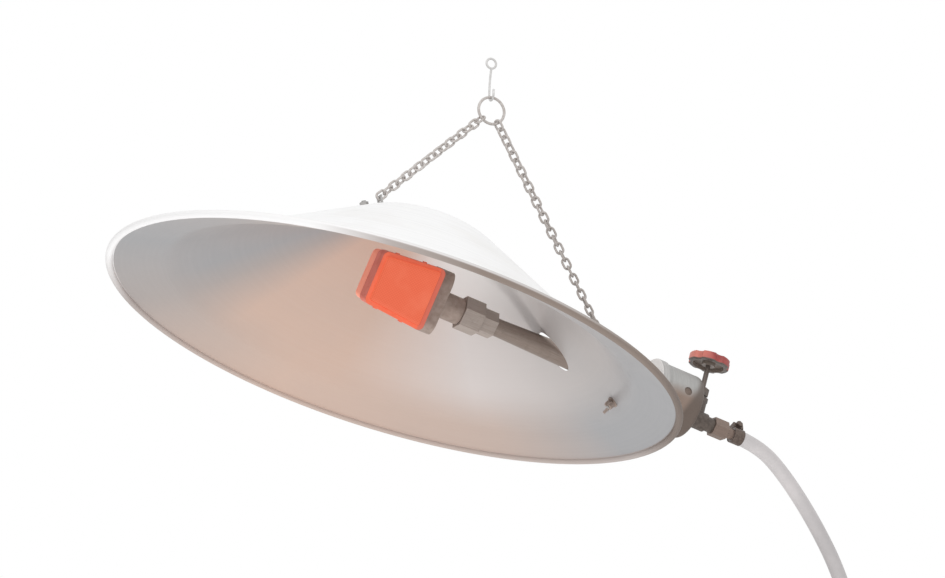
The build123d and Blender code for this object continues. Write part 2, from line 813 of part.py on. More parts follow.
with BuildPart() as filter_element:
    round_bar(
        tube_line, drum_start, drum_end - drum_round, drum_radius - drum_wall - seat_gap, element_inner
    )
save(filter_element, "filter_element")

# Injector: screwed into the valve, its flange holding the drum
flange_end = drum_end - drum_wall - seat_gap
flange_start = flange_end - injector_flange_length
nose_start = flange_start - injector_nose_length
thread_end = drum_end + injector_thread_length
with BuildPart() as injector:
    turned(
        tube_line,
        [
            (nose_start, 0),
            (nose_start, injector_tip),
            (nose_start + injector_nose - injector_tip, injector_nose),
            (flange_start, injector_nose),
            (flange_start, injector_flange),
            (flange_end, injector_flange),
            (flange_end, injector_thread),
            (thread_end, injector_thread),
            (thread_end, 0),
        ],
    )
    bored(tube_line, nose_start, thread_end, injector_jet)
    bored(tube_line, nose_start + injector_jet_length, thread_end, injector_bore)
save(injector, "injector")

# Needle valve body: outlet on the tube's axis, inlet below it, boss for the bonnet
body_start = drum_end + seat_gap
with BuildPart() as valve_body:
    round_bar(tube_line, body_start, body_start + shoulder_length, shoulder_radius)
    round_bar(tube_line, body_start, stem_station, outlet_barrel)
    round_bar(valve_line, body_start + shoulder_length, inlet_barrel_end, inlet_barrel)
    round_bar(valve_line, inlet_barrel_end, inlet_end, inlet_radius)
    round_bar(stem_line, -valve_drop, boss_top, boss_radius)
    bored(tube_line, body_start, thread_end + seat_gap, injector_thread + seat_gap)
    bored(tube_line, body_start, stem_station, outlet_bore)
    bored(valve_line, stem_station, inlet_end, inlet_bore)
    bored(valve_line, inlet_end - inlet_thread_length, inlet_end, inlet_thread)
    bored(stem_line, -valve_drop, seat_top, seat_bore)
    bored(stem_line, seat_top, boss_top, chamber_radius)
    bored(stem_line, bonnet_foot - seat_gap, boss_top, bonnet_spigot + seat_gap)
save(valve_body, "valve_body")

# Bonnet, gland nut and packing round the spindle
with BuildPart() as bonnet:
    hex_bar(stem_line, boss_top + seat_gap, bonnet_top, bonnet_flats)
    round_bar(stem_line, bonnet_foot, boss_top + seat_gap, bonnet_spigot)
    round_bar(stem_line, bonnet_top, bonnet_neck_top, bonnet_neck)
    bored(stem_line, bonnet_foot, bonnet_neck_top, stem_radius + running_gap)
save(bonnet, "bonnet")

with BuildPart() as gland_nut:
    hex_bar(stem_line, gland_start, gland_top, gland_flats)
    bored(stem_line, gland_start, gland_top - gland_cap, bonnet_neck + seat_gap)
    bored(stem_line, gland_start, gland_top, stem_radius + free_gap)
save(gland_nut, "gland_nut")

with BuildPart() as gland_packing:
    round_bar(
        stem_line, bonnet_neck_top + seat_gap, gland_top - gland_cap - seat_gap, bonnet_neck,
        stem_radius + running_gap,
    )
save(gland_packing, "gland_packing")

# Spindle, handwheel and its nut
wheel_top = wheel_start + wheel_height
wheel_nut_start = wheel_top + seat_gap
wheel_nut_end = wheel_nut_start + wheel_nut_height
with BuildPart() as valve_stem:
    turned(
        stem_line,
        [
            (stem_point, 0),
            (stem_point, stem_tip),
            (stem_point + stem_point_length, stem_radius),
            (wheel_start - free_gap, stem_radius),
            (wheel_start - free_gap, stem_spigot),
            (wheel_nut_end + stem_stand, stem_spigot),
            (wheel_nut_end + stem_stand, 0),
        ],
    )
save(valve_stem, "valve_stem")

with BuildPart() as handwheel:
    with BuildSketch(square_plane(stem_line, wheel_start)) as wheel_face:
        Circle(wheel_radius)
        with PolarLocations(wheel_radius + wheel_scallop - wheel_scallop_depth, wheel_lobes):
            Circle(wheel_scallop, mode=Mode.SUBTRACT)
        fillet(wheel_face.vertices(), wheel_round)
    extrude(amount=wheel_height)
    wheel_ends = handwheel.faces().sort_by(Axis(stem_line.origin, canopy_up))
    fillet(wheel_ends[0].edges() + wheel_ends[-1].edges(), wheel_round)
    with BuildSketch(square_plane(stem_line, wheel_start)):
        Circle(wheel_radius - wheel_rim)
        Circle(wheel_hub, mode=Mode.SUBTRACT)
    extrude(amount=wheel_recess, mode=Mode.SUBTRACT)
    bored(stem_line, wheel_start, wheel_top, stem_spigot + running_gap)
save(handwheel, "handwheel")

with BuildPart() as handwheel_nut:
    hex_bar(stem_line, wheel_nut_start, wheel_nut_end, wheel_nut_flats)
    bored(stem_line, wheel_nut_start, wheel_nut_end, stem_spigot + running_gap)
save(handwheel_nut, "handwheel_nut")

# Hose tail: thread in the valve, hexagon, collar and barbs in the hose
barb_top = hose_bore - seat_gap
tail_start = inlet_end - inlet_thread_length + seat_gap
with BuildPart() as hose_tail:
    round_bar(valve_line, tail_start, inlet_end + seat_gap, inlet_thread - seat_gap)
    hex_bar(valve_line, inlet_end + seat_gap, tail_hex_end, tail_flats)
    round_bar(valve_line, tail_hex_end, hose_start - seat_gap, tail_collar)
    round_bar(valve_line, hose_start - seat_gap, hose_start + barb_length, barb_top - barb_depth)
    for number in range(barb_rings):
        barb_foot = hose_start + barb_length * number / barb_rings
        barb_tip = hose_start + barb_length * (number + 1) / barb_rings
        turned(
            valve_line,
            [(barb_foot, 0), (barb_foot, barb_top), (barb_tip, barb_top - barb_depth), (barb_tip, 0)],
        )
    bored(valve_line, tail_start, hose_start + barb_length, inlet_bore)
save(hose_tail, "hose_tail")

# Worm-drive clamp: a band with a housing on top, and a screw across it
band_inner = hose_radius + seat_gap
band_outer = band_inner + clamp_wall
clamp_middle = clamp_start + clamp_length / 2
screw_reach = band_outer + clamp_box_height / 2
clamp_lean = radians(clamp_turn)
clamp_out = side_dir * cos(clamp_lean) + canopy_up * sin(clamp_lean)
clamp_across = canopy_up * cos(clamp_lean) - side_dir * sin(clamp_lean)
clamp_screw_line = line_plane(at(clamp_middle, valve_height) + clamp_out * screw_reach, clamp_across)
with BuildPart() as clamp_band:
    round_bar(valve_line, clamp_start, clamp_start + clamp_length, band_outer)
    with BuildSketch(square_plane(clamp_screw_line, -clamp_box_width / 2)):
        with Locations((-clamp_wall / 2, 0)):
            Rectangle(clamp_box_height + clamp_wall, clamp_length)
    extrude(amount=clamp_box_width)
    bored(valve_line, clamp_start, clamp_start + clamp_length, band_inner)
    bored(clamp_screw_line, -clamp_box_width, clamp_box_width, clamp_screw_radius + seat_gap)
save(clamp_band, "clamp_band")

with BuildPart() as clamp_screw:
    clamp_head_start = clamp_box_width / 2 + seat_gap
    round_bar(clamp_screw_line, -clamp_box_width / 2, clamp_head_start, clamp_screw_radius)
    hex_bar(clamp_screw_line, clamp_head_start, clamp_head_start + clamp_head_height, 2 * clamp_head_radius)
save(clamp_screw, "clamp_screw")


# Hose: straight runs joined by arcs, down from the valve into a tied coil
def hose_points():
    """Corners of the hose's route in the plane XZ."""
    point = at(hose_start, valve_height)
    points = [point]
    for run, heading in zip(hose_runs, hose_headings):
        fall = radians(heading)
        point = point + Vector(cos(fall), 0, -sin(fall)) * run
        points.append(point)
    return points


def hose_bends():
    """Radius of each bend: the most that its two runs allow, with a little left straight."""
    bends = []
    for number in range(1, len(hose_runs)):
        turn = radians(hose_headings[number] - hose_headings[number - 1])
        shorter = min(hose_runs[number - 1], hose_runs[number])
        bends.append(bend_share * shorter / tan(turn / 2))
    return bends


def tube_face(path):
    """Ring-shaped section of the hose at the start of a path."""
    with BuildSketch(Plane(origin=path @ 0, z_dir=path % 0)) as ring:
        Circle(hose_radius)
        Circle(hose_bore, mode=Mode.SUBTRACT)
    return ring.sketch


def report_tube(name, piece, path):
    """Print a tube's length, and its volume beside that of its section times its length."""
    section = pi * (hose_radius**2 - hose_bore**2)
    ratio = piece.part.volume / section / path.length
    print(name, "length", round(path.length, 1), "volume ratio", round(ratio, 5))


with BuildPart() as hose:
    with BuildLine(Plane.XZ) as hose_path:
        FilletPolyline(*[(point.X, point.Z) for point in hose_points()], radius=hose_bends())
    sweep(tube_face(hose_path.wire()), path=hose_path.wire())
save(hose, "hose")
print("hose bends", [round(bend) for bend in hose_bends()])
report_tube("hose", hose, hose_path.wire())

# Coil: starts straight down at its right-hand side and ends straight towards -X at its foot
hose_end = hose_points()[-1]
coil_start = hose_end - Vector(0, 0, coil_lead_in)
coil_centre = coil_start - Vector(coil_radius, 0, 0)
coil_lead = coil_step / (2 * pi)


def coil_point(turn):
    """Middle of the hose after a turn (radians) round the coil."""
    return coil_centre + Vector(coil_radius * cos(turn), coil_lead * turn, -coil_radius * sin(turn))


def coil_heading(turn):
    """Direction of the hose after a turn round the coil."""
    return Vector(-coil_radius * sin(turn), coil_lead, -coil_radius * cos(turn)).normalized()


coil_end_turn = coil_quarters * pi / 2
coil_end = coil_point(coil_end_turn)
tail_dir = Vector(-1, 0, 0)
hose_outlet = coil_end + tail_dir * coil_tail
with BuildPart() as hose_coil:
    with BuildLine() as coil_path:
        Line(hose_end, coil_start)
        heading = Vector(0, 0, -1)
        for quarter in range(1, coil_quarters + 1):
            start = coil_point((quarter - 1) * pi / 2)
            end = coil_point(quarter * pi / 2)
            end_heading = tail_dir if quarter == coil_quarters else coil_heading(quarter * pi / 2)
            arc_pair(start, heading, end, end_heading)
            heading = end_heading
        Line(coil_end, hose_outlet)
    sweep(tube_face(coil_path.wire()), path=coil_path.wire())
save(hose_coil, "hose_coil")
report_tube("coil", hose_coil, coil_path.wire())


def least_gap(path, samples=900):
    """Least gap between stretches of a tube that lie over four diameters apart along it."""
    points = [path @ (number / samples) for number in range(samples + 1)]
    apart = round(8 * hose_radius / path.length * samples)
    nearest = min(
        (points[late] - points[early]).length
        for early in range(0, samples + 1, 3)
        for late in range(early + apart, samples + 1)
    )
    return nearest - 2 * hose_radius


print("coil least gap to itself", round(least_gap(coil_path.wire()), 2))

# Tie round all turns of the coil
tie_turn = radians(tie_angle)
tie_spread = coil_step * (tie_strands - 1)
tie_middle = coil_point(tie_turn) + side_dir * (tie_spread / 2)
tie_heading = Vector(-sin(tie_turn), 0, -cos(tie_turn))
tie_inner = 2 * (hose_radius + tie_gap)
with BuildPart() as coil_tie:
    with BuildSketch(Plane(origin=tie_middle, x_dir=side_dir, z_dir=tie_heading)):
        SlotCenterToCenter(tie_spread, tie_inner + 2 * tie_wall)
        SlotCenterToCenter(tie_spread, tie_inner, mode=Mode.SUBTRACT)
    extrude(amount=tie_width / 2, both=True)
save(coil_tie, "coil_tie")

# Hose end: nipple in the hose and swivel nut on the nipple
end_line = line_plane(hose_outlet, tail_dir)
end_neck_start = end_collar_length
end_head_start = end_neck_start + end_neck_length
end_head_stop = end_head_start + end_head_length
with BuildPart() as hose_end_nipple:
    round_bar(end_line, -end_barb_length, seat_gap, barb_top)
    round_bar(end_line, seat_gap, end_neck_start, hose_radius)
    round_bar(end_line, end_neck_start, end_head_start, end_neck)
    turned(
        end_line,
        [(end_head_start, 0), (end_head_start, end_head), (end_head_stop, end_neck), (end_head_stop, 0)],
    )
    bored(end_line, -end_barb_length, end_head_stop, end_bore)
save(hose_end_nipple, "hose_end_nipple")

nut_lip_end = end_head_start - free_gap
nut_start = nut_lip_end - end_nut_lip
nut_end = nut_start + end_nut_length
nut_thread = end_head + free_gap
with BuildPart() as hose_end_nut:
    hex_bar(end_line, nut_start, nut_end, end_nut_flats)
    bored(end_line, nut_start, nut_end, end_neck + free_gap)
    bored(end_line, nut_lip_end, nut_end, nut_thread)
    bored(end_line, nut_lip_end, end_head_stop + free_gap, nut_thread + free_gap)
save(hose_end_nut, "hose_end_nut")

inlet_foot = hose_outlet + tail_dir * (end_head_stop + free_gap)
print("gas inlet thread from", inlet_foot, "to", hose_outlet + tail_dir * nut_end)
print("chain links", len(lug_links[1]), len(bracket_links[1]))
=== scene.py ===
import bpy
from math import cos, pi, radians, sin
from mathutils import Matrix, Vector


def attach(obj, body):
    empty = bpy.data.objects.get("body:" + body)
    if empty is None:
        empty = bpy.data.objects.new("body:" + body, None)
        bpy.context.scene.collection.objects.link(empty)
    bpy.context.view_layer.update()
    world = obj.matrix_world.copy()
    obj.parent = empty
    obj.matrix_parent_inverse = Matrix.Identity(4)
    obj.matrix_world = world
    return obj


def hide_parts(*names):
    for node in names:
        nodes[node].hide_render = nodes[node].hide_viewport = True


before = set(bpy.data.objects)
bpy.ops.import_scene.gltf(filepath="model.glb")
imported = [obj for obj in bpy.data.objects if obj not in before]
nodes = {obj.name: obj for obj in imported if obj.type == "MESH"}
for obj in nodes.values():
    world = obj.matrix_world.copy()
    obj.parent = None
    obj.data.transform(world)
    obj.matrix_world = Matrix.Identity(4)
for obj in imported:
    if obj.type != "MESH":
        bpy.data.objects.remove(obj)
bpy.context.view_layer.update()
scene = bpy.context.scene

# Sizes repeated from the solids, in metres, in the hanging attitude
tilt = radians(17.0)             # fall of the canopy towards the valve
face_turn = radians(21.0)        # glowing face below level
rim_centre = Vector((-0.1105, 0.0, -0.326))
tube_dir = Vector((cos(tilt), 0.0, -sin(tilt)))
canopy_up = Vector((sin(tilt), 0.0, cos(tilt)))
side_dir = Vector((0.0, 1.0, 0.0))
face_dir = -side_dir * cos(face_turn) - canopy_up * sin(face_turn)
head_up = canopy_up * cos(face_turn) - side_dir * sin(face_turn)
bead_inside = 0.2928             # where the canopy's sheet meets its bead
bead_middle = 0.2964
brim_inside = 0.2434             # where the shallow brim meets the cone
painted_light_radius = 0.070             # painted light round the crown
tinted_radius = 0.135            # where the painted glow and shade tints are full
tube_height = 0.066              # tube's axis above the rim
wheel_inside = 0.0172            # inside of the handwheel's rim
hose_radius = 0.008

# Places along the tube, from the rim's centre
cool_start = 0.0140              # where the burner's glow begins to fail
cool_full = 0.0168
drum_shoulder = 0.316            # where the drum turns in towards the valve
stem_station = 0.346             # spindle
hose_start = 0.3930              # hose's cut end

# Camera: below the rim, looking up into the canopy
camera_data = bpy.data.cameras.new("camera")
camera_data.lens = 76.19
camera_data.sensor_width = 36.0
camera_data.clip_end = 60.0
camera = bpy.data.objects.new("camera", camera_data)
scene.collection.objects.link(camera)
camera_place = Vector((-0.8213, -1.8389, -0.7499))
right = Vector((0.9171, -0.3987, 0.0))
upward = Vector((-0.0957, -0.2201, 0.9708))
backward = Vector((-0.3870, -0.8903, -0.2400))
camera_turn = Matrix((right, upward, backward)).transposed().to_4x4()
camera.matrix_world = Matrix.Translation(camera_place) @ camera_turn
scene.camera = camera
scene.view_settings.view_transform = "Standard"

# Hose: the route's own points, then the turns of the tied coil and its straight end
coil_centre = Vector((0.3429, 0.0, -0.6624))
coil_radius = 0.085
coil_step = 0.017
coil_turns = 2.25
points_per_turn = 16
coil_tail = 0.050
route = [
    (0.2823, 0.0, -0.3854),
    (0.3148, 0.0, -0.3954),
    (0.3455, 0.0, -0.4241),
    (0.3808, 0.0, -0.4726),
    (0.4108, 0.0, -0.5268),
    (0.4279, 0.0, -0.5864),
    (0.4279, 0.0, -0.6464),
]
control_radius = coil_radius / cos(pi / points_per_turn)
for number in range(int(coil_turns * points_per_turn)):
    turn = (number + 0.5) / points_per_turn
    angle = 2 * pi * turn
    route.append((
        coil_centre.x + control_radius * cos(angle),
        coil_step * turn,
        coil_centre.z - control_radius * sin(angle),
    ))
for share in (0.5, 1.0):
    route.append((coil_centre.x - coil_tail * share, coil_step * coil_turns, coil_centre.z - coil_radius))

hose_curve = bpy.data.curves.new("hose_line", "CURVE")
hose_curve.dimensions = "3D"
hose_curve.bevel_depth = 1.0     # times each point's radius, which also sets the curve's box
hose_curve.bevel_resolution = 8
hose_curve.resolution_u = 12
hose_curve.use_fill_caps = True
spline = hose_curve.splines.new("NURBS")
spline.points.add(len(route) - 1)
for point, place in zip(spline.points, route):
    point.co = (*place, 1.0)
    point.radius = hose_radius
spline.order_u = 3
spline.use_endpoint_u = True
hose = bpy.data.objects.new("gas_hose", hose_curve)
scene.collection.objects.link(hose)
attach(hose, "brooder")
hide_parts("hose", "hose_coil")


# Shader helpers: nodes, sums and colours
def new_material(name):
    """A material with its node tree and its main shader."""
    material = bpy.data.materials.new(name)
    material.use_nodes = True
    return material, material.node_tree, material.node_tree.nodes["Principled BSDF"]


def feed(tree, socket, value):
    """Give a socket a value, or link another socket to it."""
    if isinstance(value, bpy.types.NodeSocket):
        tree.links.new(value, socket)
    else:
        socket.default_value = value


def add_node(tree, kind, *values, settings=None, **named):
    """A node with its settings, its first inputs in order and other inputs by name."""
    node = tree.nodes.new(kind)
    for key, value in (settings or {}).items():
        setattr(node, key, value)
    for socket, value in zip(node.inputs, values):
        feed(tree, socket, value)
    for key, value in named.items():
        feed(tree, node.inputs[key], value)
    return node


def work_out(tree, operation, *values):
    """Result of a sum on one or more values."""
    return add_node(tree, "ShaderNodeMath", *values, settings={"operation": operation}).outputs[0]


def vector_math(tree, operation, first, second):
    """Node of a sum on two vectors."""
    return add_node(tree, "ShaderNodeVectorMath", first, second, settings={"operation": operation})


def off_axis(tree, first, second):
    """Distance from an axis, by the offsets in two directions."""
    squares = [work_out(tree, "MULTIPLY", offset, offset) for offset in (first, second)]
    return work_out(tree, "SQRT", work_out(tree, "ADD", *squares))


def remap(tree, value, low, high, to_low=0.0, to_high=1.0):
    """A value carried smoothly from one range to another, held at the ends."""
    smooth = {"interpolation_type": "SMOOTHSTEP"}
    node = add_node(tree, "ShaderNodeMapRange", value, low, high, to_low, to_high, settings=smooth)
    return node.outputs[0]


def falling(tree, value, low, high):
    """A mask that is 1 below a range of the value and 0 above it."""
    return remap(tree, value, low, high, 1.0, 0.0)


def colour(red, green, blue):
    """A colour given as it looks on a screen, from 0 to 255."""
    shares = (value / 255 for value in (red, green, blue))
    linear = (x / 12.92 if x <= 0.04045 else ((x + 0.055) / 1.055) ** 2.4 for x in shares)
    return (*linear, 1.0)


def as_tone(value):
    """A screen colour made ready for a socket. Another node's socket stays as it is."""
    return colour(*value) if isinstance(value, tuple) else value


def mix(tree, factor, first, second):
    """Two colours, each a socket or a screen colour, mixed by a factor."""
    node = add_node(tree, "ShaderNodeMix", factor, settings={"data_type": "RGBA"})
    first_colour, second_colour = node.inputs[6:8]
    feed(tree, first_colour, as_tone(first))
    feed(tree, second_colour, as_tone(second))
    return node.outputs[2]


def fade(tree, factor, share, first, second):
    """The first colour with up to a share of the second."""
    return mix(tree, work_out(tree, "MULTIPLY", factor, share), first, second)


# Shader helpers: places, directions and grain
def row_place(tree):
    """Place in the model's own frame, in metres, which holds in every pose."""
    return add_node(tree, "ShaderNodeTexCoord").outputs["Object"]


def object_normal(tree):
    """The surface's direction in the model's own frame."""
    return add_node(tree, "ShaderNodeTexCoord").outputs["Normal"]


def along(tree, vector, direction):
    """How far a vector reaches in a direction."""
    return vector_math(tree, "DOT_PRODUCT", vector, tuple(direction)).outputs["Value"]


def canopy_place(tree, stretch=(1.0, 1.0, 1.0)):
    """Place along the tube, to the side and up from the rim's centre, stretched for grain."""
    origin = (-rim_centre.dot(tube_dir), 0.0, -rim_centre.dot(canopy_up))
    place = add_node(tree, "ShaderNodeMapping", row_place(tree), origin, (0.0, -tilt, 0.0)).outputs[0]
    return vector_math(tree, "MULTIPLY", place, stretch).outputs[0]


def canopy_axes(tree):
    """The three numbers of the place in the canopy's own axes."""
    return add_node(tree, "ShaderNodeSeparateXYZ", canopy_place(tree)).outputs


def noise(tree, where, scale, detail=4.0, roughness=0.6):
    """Cloudy noise from 0 to 1."""
    node = add_node(tree, "ShaderNodeTexNoise", Vector=where, Scale=scale, Detail=detail, Roughness=roughness)
    return node.outputs[0]


def over_range(tree, cloud, low=0.0, high=1.0):
    """Noise, most of which lies from 0.3 to 0.7, carried to a range."""
    return remap(tree, cloud, 0.3, 0.7, low, high)


def rounded_normal(tree, reach):
    """The surface's direction as if its edges were rounded."""
    return add_node(tree, "ShaderNodeBevel", reach, settings={"samples": 6}).outputs[0]


def worn_edges(tree, reach):
    """Mask of the edges, where handling has rubbed them bright: the rounded direction leans away there."""
    straight = add_node(tree, "ShaderNodeNewGeometry").outputs["Normal"]
    agree = vector_math(tree, "DOT_PRODUCT", rounded_normal(tree, reach), straight).outputs["Value"]
    return falling(tree, agree, 0.86, 0.985)


def relief(tree, shader, height, distance, strength, edge_round=0.0):
    """Give a shader fine relief, and softly rounded edges where asked."""
    bump = add_node(tree, "ShaderNodeBump", Height=height, Distance=distance, Strength=strength)
    if edge_round:
        feed(tree, bump.inputs["Normal"], rounded_normal(tree, edge_round))
    feed(tree, shader.inputs["Normal"], bump.outputs[0])


def surface(tree, shader, tone, rough, metallic=0.0):
    """Give a shader its colour, roughness and share of metal, each a value or a socket."""
    feed(tree, shader.inputs["Base Color"], as_tone(tone))
    feed(tree, shader.inputs["Roughness"], rough)
    feed(tree, shader.inputs["Metallic"], metallic)


def emit(tree, shader, tone, strength):
    """Make a shader glow in a colour."""
    feed(tree, shader.inputs["Emission Color"], as_tone(tone))
    shader.inputs["Emission Strength"].default_value = strength


def turn_ramp(tree, turn, stops):
    """Colours by the turn round the canopy's axis: (degrees from the valve's side, screen colour).

    A new ramp has two elements, which take the first two stops.
    """
    share = work_out(tree, "MULTIPLY_ADD", turn, 1 / (2 * pi), 0.5)
    node = add_node(tree, "ShaderNodeValToRGB", share)
    elements = node.color_ramp.elements
    for number, (degrees, tone) in enumerate(stops):
        position = (degrees + 180) / 360
        element = elements[number] if number < 2 else elements.new(position)
        element.position = position
        element.color = colour(*tone)
    return node.outputs[0]


# Canopy: white outside; satin inside with painted glow and painted shade by the turn round its axis and
# painted light round the crown; painted shade on the bead's near side
cool_grey = (166, 166, 168)
pale_grey = (190, 185, 183)
light_grey = (218, 210, 207)
peach = (212, 184, 168)
tan = (198, 178, 167)
warm_grey = (177, 168, 164)
painted_shade_brown = (141, 127, 118)
painted_deep_shade = (122, 109, 101)
white_paint = (245, 244, 244)
# Painted light: the peach and warm tints are painted glow where the burner's light falls, the cool greys
# painted shade away from it
cone_tints = (
    (-180, cool_grey),
    (180, cool_grey),
    (-120, pale_grey),
    (-10, pale_grey),
    (45, light_grey),
    (86, peach),
    (122, peach),
    (142, warm_grey),
    (154, cool_grey),
)
brim_tints = (
    (-180, cool_grey),
    (180, cool_grey),
    (-120, pale_grey),
    (-40, cool_grey),
    (5, cool_grey),
    (40, tan),
    (97, peach),
    (122, tan),
    (144, warm_grey),
)
# Painted shade: the browns on the bead's near side, below and towards the valve also on top; the white is the
# outside's paint
bead_tints = (
    (-180, white_paint),
    (180, white_paint),
    (-126, white_paint),
    (-112, warm_grey),
    (-96, painted_shade_brown),
    (-60, painted_shade_brown),
    (-40, painted_deep_shade),
    (-18, painted_deep_shade),
    (2, warm_grey),
    (97, tan),
    (144, warm_grey),
    (170, white_paint),
)
bead_top_tints = (
    (-180, white_paint),
    (180, white_paint),
    (-118, white_paint),
    (-60, painted_shade_brown),
    (-40, painted_deep_shade),
    (-6, painted_deep_shade),
    (30, white_paint),
)


def canopy_material():
    """Sheet tinted by the turn round its axis, by its distance from the axis and by its side, which paints
    glow, shade and light on it.
    """
    painted_crown_light = (242, 239, 237)
    spun_mark = (226, 224, 223)
    grey_patch = (168, 166, 166)
    outer_dull = (248, 248, 248)
    outer_bright = (254, 254, 254)
    outer_patch = (232, 229, 225)

    material, tree, shader = new_material("canopy_sheet")
    ahead, side, _ = canopy_axes(tree)
    radius = off_axis(tree, ahead, side)
    turn = work_out(tree, "ARCTAN2", side, ahead)
    rings = add_node(
        tree, "ShaderNodeTexNoise", settings={"noise_dimensions": "1D"},
        W=radius, Scale=240.0, Detail=2.0, Roughness=0.6,
    ).outputs[0]
    patches = noise(tree, canopy_place(tree), scale=9.0, detail=5.0)
    facing_up = along(tree, object_normal(tree), canopy_up)
    outside = remap(tree, facing_up, -0.02, 0.02)
    on_brim = remap(tree, radius, brim_inside - 0.045, brim_inside + 0.015)
    on_bead = remap(tree, radius, bead_inside - 0.0012, bead_inside - 0.0002)

    inner = mix(tree, on_brim, turn_ramp(tree, turn, cone_tints), turn_ramp(tree, turn, brim_tints))
    # Painted light: paler round the crown on the valve's side
    near_crown = falling(tree, radius, painted_light_radius, tinted_radius)
    painted_crown_mask = work_out(tree, "MULTIPLY", near_crown, remap(tree, ahead, 0.0, 0.06))
    inner = fade(tree, painted_crown_mask, 0.9, inner, painted_crown_light)
    inner = fade(tree, remap(tree, rings, 0.35, 0.7), 0.025, inner, spun_mark)
    inner = fade(tree, remap(tree, patches, 0.4, 0.7), 0.06, inner, grey_patch)

    outer = mix(tree, over_range(tree, rings), outer_dull, outer_bright)
    outer = fade(tree, remap(tree, patches, 0.42, 0.72), 0.35, outer, outer_patch)

    outer_half = remap(tree, radius, bead_middle - 0.001, bead_middle + 0.0005)
    on_top = work_out(tree, "MULTIPLY", remap(tree, facing_up, -0.15, 0.30), outer_half)
    bead = mix(tree, on_top, turn_ramp(tree, turn, bead_tints), turn_ramp(tree, turn, bead_top_tints))

    tone = mix(tree, on_bead, mix(tree, outside, inner, outer), bead)
    rough = work_out(tree, "MULTIPLY_ADD", outside, 0.15, over_range(tree, patches, 0.32, 0.40))
    rough = work_out(tree, "MULTIPLY_ADD", on_bead, 0.2, rough)
    shine = work_out(tree, "MULTIPLY_ADD", outside, -0.30, 0.35)
    shine = work_out(tree, "MULTIPLY", shine, work_out(tree, "MULTIPLY_ADD", on_bead, -0.8, 1.0))
    surface(tree, shader, tone, rough, shine)
    return material


def cool_end(tree):
    """Mask of the burner's end beside the tube, which glows less."""
    return remap(tree, canopy_axes(tree)[0], cool_start, cool_full)


# Glowing gauze: woven wire at red heat, with hotter and cooler clouds
def gauze_material():
    wire_pitch = 0.0016
    wire_bare = (96, 40, 30)
    gap_glow = (224, 98, 66)
    wire_glow = (238, 112, 78)
    hot_glow = (240, 128, 96)
    cool_glow = (176, 84, 70)

    material, tree, shader = new_material("glowing_gauze")
    where = row_place(tree)
    weave = []
    for direction in (tube_dir, head_up):
        phase = work_out(tree, "MULTIPLY", along(tree, where, direction), pi / wire_pitch)
        weave.append(work_out(tree, "ABSOLUTE", work_out(tree, "SINE", phase)))
    wire = remap(tree, work_out(tree, "MULTIPLY", *weave), 0.1, 0.6)
    heat = noise(tree, where, scale=34.0)
    glow = mix(tree, wire, gap_glow, wire_glow)
    glow = fade(tree, remap(tree, heat, 0.45, 0.72), 0.4, glow, hot_glow)
    glow = fade(tree, cool_end(tree), 0.9, glow, cool_glow)
    surface(tree, shader, wire_bare, 0.7)
    emit(tree, shader, glow, 0.9)
    relief(tree, shader, wire, distance=0.0003, strength=0.5)
    return material


# Burner frame: as bright as the gauze round the face, partly by painted glow from the gauze's light; darker
# and stained down its skirt
def frame_material():
    skirt_clean = (214, 120, 106)
    skirt_stain = (200, 110, 96)
    skirt_dark = (158, 88, 76)
    lip_clean = (230, 110, 80)
    lip_stain = (222, 102, 72)
    lip_cool = (178, 100, 90)
    skirt_painted_glow = (138, 58, 46)
    lip_painted_glow = (186, 84, 58)

    material, tree, shader = new_material("burner_frame_hot")
    place = canopy_place(tree)
    normal = object_normal(tree)
    front = remap(tree, along(tree, normal, face_dir), 0.3, 0.8)
    tube_end = remap(tree, along(tree, normal, tube_dir), 0.3, 0.8)
    stains = remap(tree, noise(tree, place, scale=60.0, detail=6.0, roughness=0.65), 0.35, 0.7)
    specks = noise(tree, place, scale=420.0, detail=3.0)
    skirt = mix(tree, stains, skirt_clean, skirt_stain)
    skirt = mix(tree, tube_end, skirt, skirt_dark)
    lip = mix(tree, stains, lip_clean, lip_stain)
    lip = fade(tree, cool_end(tree), 0.8, lip, lip_cool)
    surface(tree, shader, mix(tree, front, skirt, lip), remap(tree, stains, 0.0, 1.0, 0.5, 0.65))
    # Painted glow: the frame is no lamp, its emission stands in for the gauze's light on it
    emit(tree, shader, mix(tree, front, skirt_painted_glow, lip_painted_glow), 0.5)
    relief(tree, shader, specks, distance=0.0002, strength=0.3, edge_round=0.0006)
    return material


# Burner casing: heat-stained painted steel, with painted glow from the gauze's light
def casing_material():
    clean = (246, 164, 140)
    stain = (238, 154, 130)
    scorched = (110, 62, 52)
    glow = (186, 88, 66)

    material, tree, shader = new_material("burner_casing_pale")
    place = canopy_place(tree)
    patches = noise(tree, place, scale=38.0, detail=6.0, roughness=0.65)
    specks = noise(tree, place, scale=420.0, detail=3.0)
    tone = mix(tree, remap(tree, patches, 0.35, 0.68), clean, stain)
    tone = fade(tree, remap(tree, specks, 0.55, 0.75), 0.2, tone, scorched)
    surface(tree, shader, tone, over_range(tree, patches, 0.45, 0.6))
    # Painted glow: the casing is no lamp, its emission stands in for the gauze's light on it
    emit(tree, shader, glow, 0.5)
    relief(tree, shader, specks, distance=0.0002, strength=0.4, edge_round=0.0006)
    return material


# Grain of worked metal, as a stretch along the tube, to the side and up
even = (1.0, 1.0, 1.0)
drawn = (0.04, 1.0, 1.0)         # streaks along the tube
turned = (1.0, 0.08, 0.08)       # rings round the tube
upright = (1.0, 1.0, 0.05)       # streaks along the spindle
fine_grain = 1200.0


